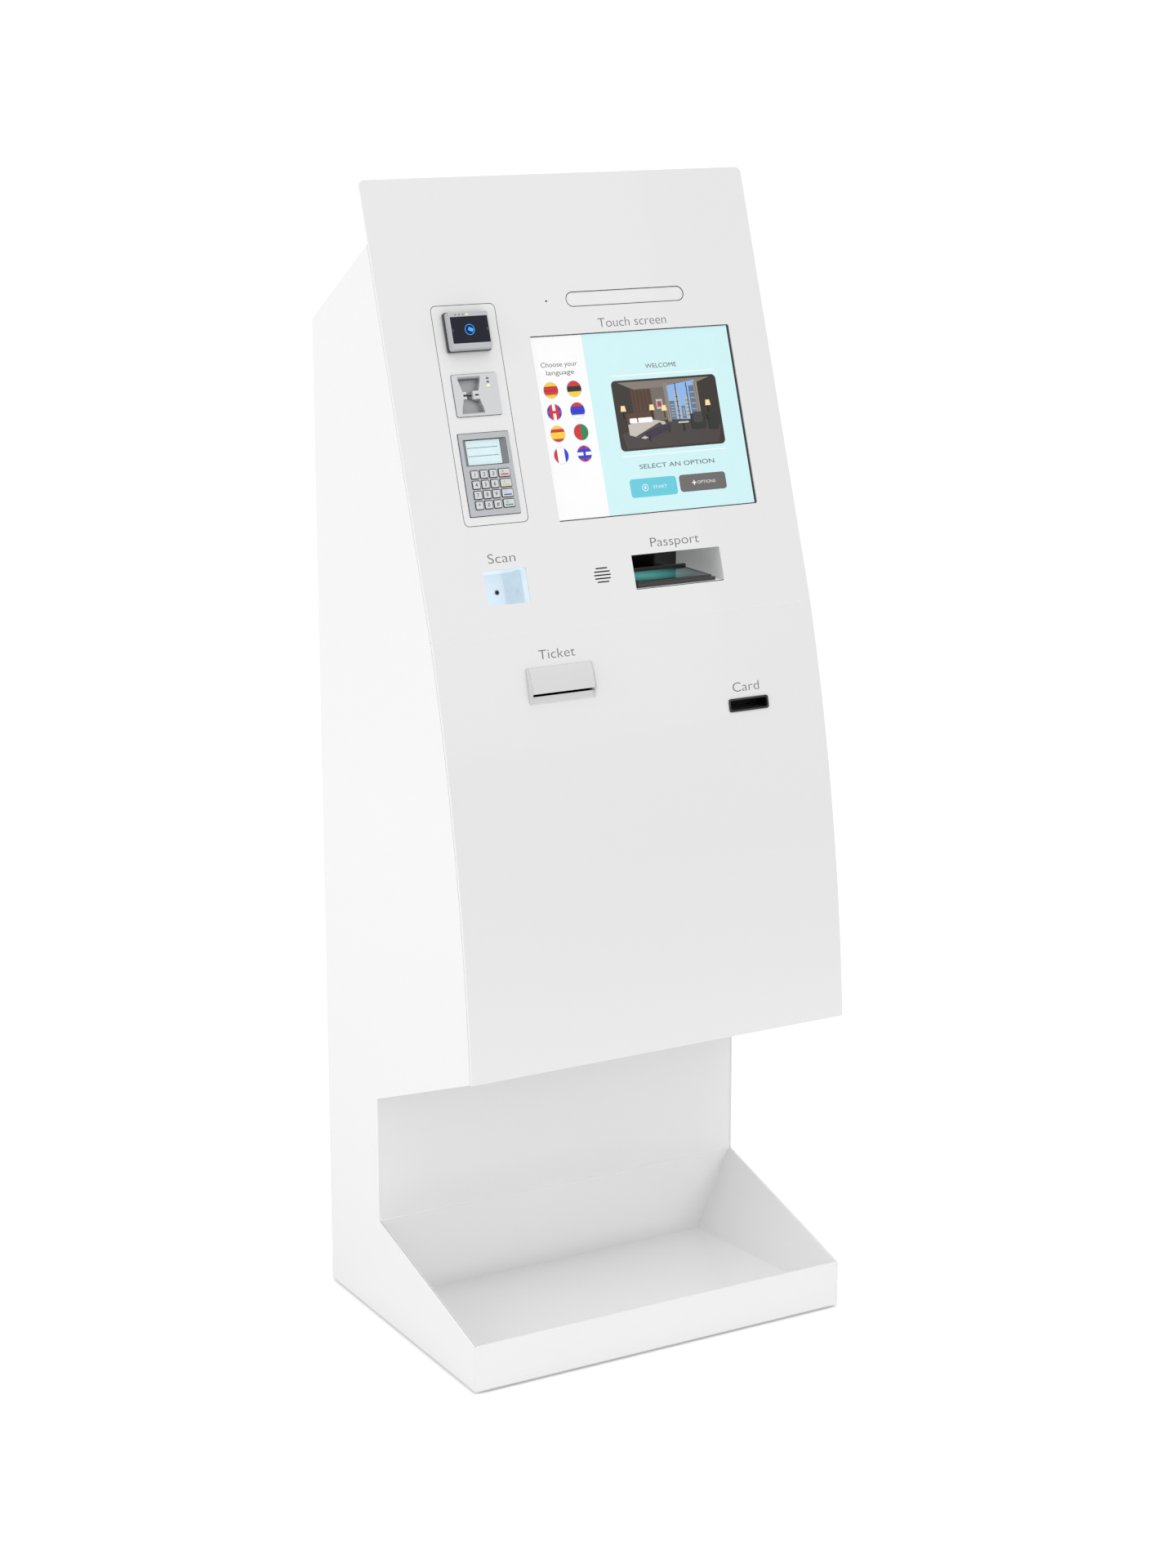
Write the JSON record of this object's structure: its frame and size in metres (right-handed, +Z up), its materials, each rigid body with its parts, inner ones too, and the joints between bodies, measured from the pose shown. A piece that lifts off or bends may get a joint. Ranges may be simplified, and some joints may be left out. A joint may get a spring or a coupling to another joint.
{
  "type": "self checkout kiosk",
  "caption": "Free-standing self-service kiosk: leaning fascia with touch screen, payment devices, code and passport readers and outlets, over an open tray.",
  "frame": {"origin": "on the floor, under the middle of the kiosk's outer box", "axes": "+Z up, +X to the user's right, -Y out of the front towards the user"},
  "size_m": [0.635, 0.485, 1.725],
  "materials": {
    "white_coat": "gloss white powder coat",
    "zinc_sheet": "zinc-plated sheet",
    "bright_steel": "bright steel",
    "white_plastic": "gloss white moulding",
    "display_casing": "display module casing",
    "touch_glass": "touch glass over a lit screen",
    "display_glass": "small lit display",
    "camera_window": "translucent pale window",
    "graphite_plastic": "fine-textured dark moulding",
    "silver_plastic": "silver-painted moulding",
    "key_metal": "metal key caps",
    "black_plastic": "gloss black moulding",
    "rubber": "dark rubber",
    "paper": null
  },
  "bodies": {
    "cabinet": {"upper_fascia": "white_coat", "touch_glass": "touch_glass", "display_module": "display_casing", "camera_window": "camera_window", "camera_module": "graphite_plastic", "device_plate": "white_coat", "contactless_reader": "silver_plastic", "card_reader": "silver_plastic", "pinpad_body": "silver_plastic", "pinpad_display": "display_glass", "code_hood": "white_plastic", "code_scanner": "graphite_plastic", "speaker": "graphite_plastic", "ticket_bezel": "white_plastic", "ticket_printer": "bright_steel", "card_bezel": "black_plastic", "card_dispenser": "bright_steel", "left_side_panel": "white_coat", "right_side_panel": "white_coat", "front_plinth": "white_coat", "recess_panel": "white_coat", "underside_panel": "white_coat", "tray_pan": "white_coat", "base_plate": "zinc_sheet", "foot_front_left": "rubber", "foot_front_right": "rubber", "foot_rear_left": "rubber", "foot_rear_right": "rubber", "lower_fascia": "white_coat", "top_cover": "white_coat", "rear_frame": "white_coat", "door_hinge": "bright_steel", "passport_hood": "graphite_plastic", "passport_reader": "black_plastic", "inner_shelf": "zinc_sheet", "computer_case": "graphite_plastic", "power_supply": "graphite_plastic"},
    "rear_door": {"rear_door": "white_coat"},
    "door_lock": {"door_lock": "bright_steel"},
    "paper_roll": {"paper_roll": "paper"},
    "platen_roller": {"platen_roller": "rubber"},
    "feed_roller": {"feed_roller": "rubber"},
    "cooling_fan": {"cooling_fan": "black_plastic"},
    "power_switch": {"power_switch": "black_plastic"},
    "key_1": {"key_1": "key_metal"},
    "key_2": {"key_2": "key_metal"},
    "key_3": {"key_3": "key_metal"},
    "key_cancel": {"key_cancel": "key_metal"},
    "key_4": {"key_4": "key_metal"},
    "key_5": {"key_5": "key_metal"},
    "key_6": {"key_6": "key_metal"},
    "key_clear": {"key_clear": "key_metal"},
    "key_7": {"key_7": "key_metal"},
    "key_8": {"key_8": "key_metal"},
    "key_9": {"key_9": "key_metal"},
    "key_help": {"key_help": "key_metal"},
    "key_star": {"key_star": "key_metal"},
    "key_0": {"key_0": "key_metal"},
    "key_hash": {"key_hash": "key_metal"},
    "key_enter": {"key_enter": "key_metal"}
  },
  "joints": [
    {"name": "rear_door_hinge", "type": "hinge", "parent": "cabinet", "child": "rear_door", "pos_m": [0.304, 0.23425, 0.81], "axis": [0, 0, -1], "range_deg": [0, 100]},
    {"name": "door_lock_turn", "type": "hinge", "parent": "rear_door", "child": "door_lock", "pos_m": [-0.2547, 0.2325, 0.82], "axis": [0, -1, 0], "range_deg": [0, 90]},
    {"name": "power_switch_rock", "type": "hinge", "parent": "cabinet", "child": "power_switch", "pos_m": [-0.249, 0.228, 0.072], "axis": [-1, 0, 0], "range_deg": [0, 16]},
    {"name": "paper_roll_turn", "type": "hinge", "parent": "cabinet", "child": "paper_roll", "pos_m": [-0.122, -0.08117, 0.95751], "axis": [1, 0, 0], "continuous": true},
    {"name": "platen_roller_turn", "type": "hinge", "parent": "cabinet", "child": "platen_roller", "pos_m": [-0.122, -0.13523, 0.9962], "axis": [1, 0, 0], "continuous": true},
    {"name": "feed_roller_turn", "type": "hinge", "parent": "cabinet", "child": "feed_roller", "pos_m": [0.1873, -0.12298, 0.94421], "axis": [1, 0, 0], "continuous": true},
    {"name": "cooling_fan_turn", "type": "hinge", "parent": "cabinet", "child": "cooling_fan", "pos_m": [0, 0.0815, 0.6793], "axis": [0, 1, 0], "continuous": true},
    {"name": "key_1_press", "type": "slide", "parent": "cabinet", "child": "key_1", "axis": [0, 0.9478, -0.319], "range_m": [0, 0.0015], "stiffness_N_per_m": 400, "springref_m": -0.0005},
    {"name": "key_2_press", "type": "slide", "parent": "cabinet", "child": "key_2", "axis": [0, 0.9478, -0.319], "range_m": [0, 0.0015], "stiffness_N_per_m": 400, "springref_m": -0.0005},
    {"name": "key_3_press", "type": "slide", "parent": "cabinet", "child": "key_3", "axis": [0, 0.9478, -0.319], "range_m": [0, 0.0015], "stiffness_N_per_m": 400, "springref_m": -0.0005},
    {"name": "key_cancel_press", "type": "slide", "parent": "cabinet", "child": "key_cancel", "axis": [0, 0.9478, -0.319], "range_m": [0, 0.0015], "stiffness_N_per_m": 400, "springref_m": -0.0005},
    {"name": "key_4_press", "type": "slide", "parent": "cabinet", "child": "key_4", "axis": [0, 0.9478, -0.319], "range_m": [0, 0.0015], "stiffness_N_per_m": 400, "springref_m": -0.0005},
    {"name": "key_5_press", "type": "slide", "parent": "cabinet", "child": "key_5", "axis": [0, 0.9478, -0.319], "range_m": [0, 0.0015], "stiffness_N_per_m": 400, "springref_m": -0.0005},
    {"name": "key_6_press", "type": "slide", "parent": "cabinet", "child": "key_6", "axis": [0, 0.9478, -0.319], "range_m": [0, 0.0015], "stiffness_N_per_m": 400, "springref_m": -0.0005},
    {"name": "key_clear_press", "type": "slide", "parent": "cabinet", "child": "key_clear", "axis": [0, 0.9478, -0.319], "range_m": [0, 0.0015], "stiffness_N_per_m": 400, "springref_m": -0.0005},
    {"name": "key_7_press", "type": "slide", "parent": "cabinet", "child": "key_7", "axis": [0, 0.9478, -0.319], "range_m": [0, 0.0015], "stiffness_N_per_m": 400, "springref_m": -0.0005},
    {"name": "key_8_press", "type": "slide", "parent": "cabinet", "child": "key_8", "axis": [0, 0.9478, -0.319], "range_m": [0, 0.0015], "stiffness_N_per_m": 400, "springref_m": -0.0005},
    {"name": "key_9_press", "type": "slide", "parent": "cabinet", "child": "key_9", "axis": [0, 0.9478, -0.319], "range_m": [0, 0.0015], "stiffness_N_per_m": 400, "springref_m": -0.0005},
    {"name": "key_help_press", "type": "slide", "parent": "cabinet", "child": "key_help", "axis": [0, 0.9478, -0.319], "range_m": [0, 0.0015], "stiffness_N_per_m": 400, "springref_m": -0.0005},
    {"name": "key_star_press", "type": "slide", "parent": "cabinet", "child": "key_star", "axis": [0, 0.9478, -0.319], "range_m": [0, 0.0015], "stiffness_N_per_m": 400, "springref_m": -0.0005},
    {"name": "key_0_press", "type": "slide", "parent": "cabinet", "child": "key_0", "axis": [0, 0.9478, -0.319], "range_m": [0, 0.0015], "stiffness_N_per_m": 400, "springref_m": -0.0005},
    {"name": "key_hash_press", "type": "slide", "parent": "cabinet", "child": "key_hash", "axis": [0, 0.9478, -0.319], "range_m": [0, 0.0015], "stiffness_N_per_m": 400, "springref_m": -0.0005},
    {"name": "key_enter_press", "type": "slide", "parent": "cabinet", "child": "key_enter", "axis": [0, 0.9478, -0.319], "range_m": [0, 0.0015], "stiffness_N_per_m": 400, "springref_m": -0.0005}
  ],
  "couplings": [
    {"joint": "platen_roller_turn", "follows": "paper_roll_turn", "ratio": 4.75}
  ]
}
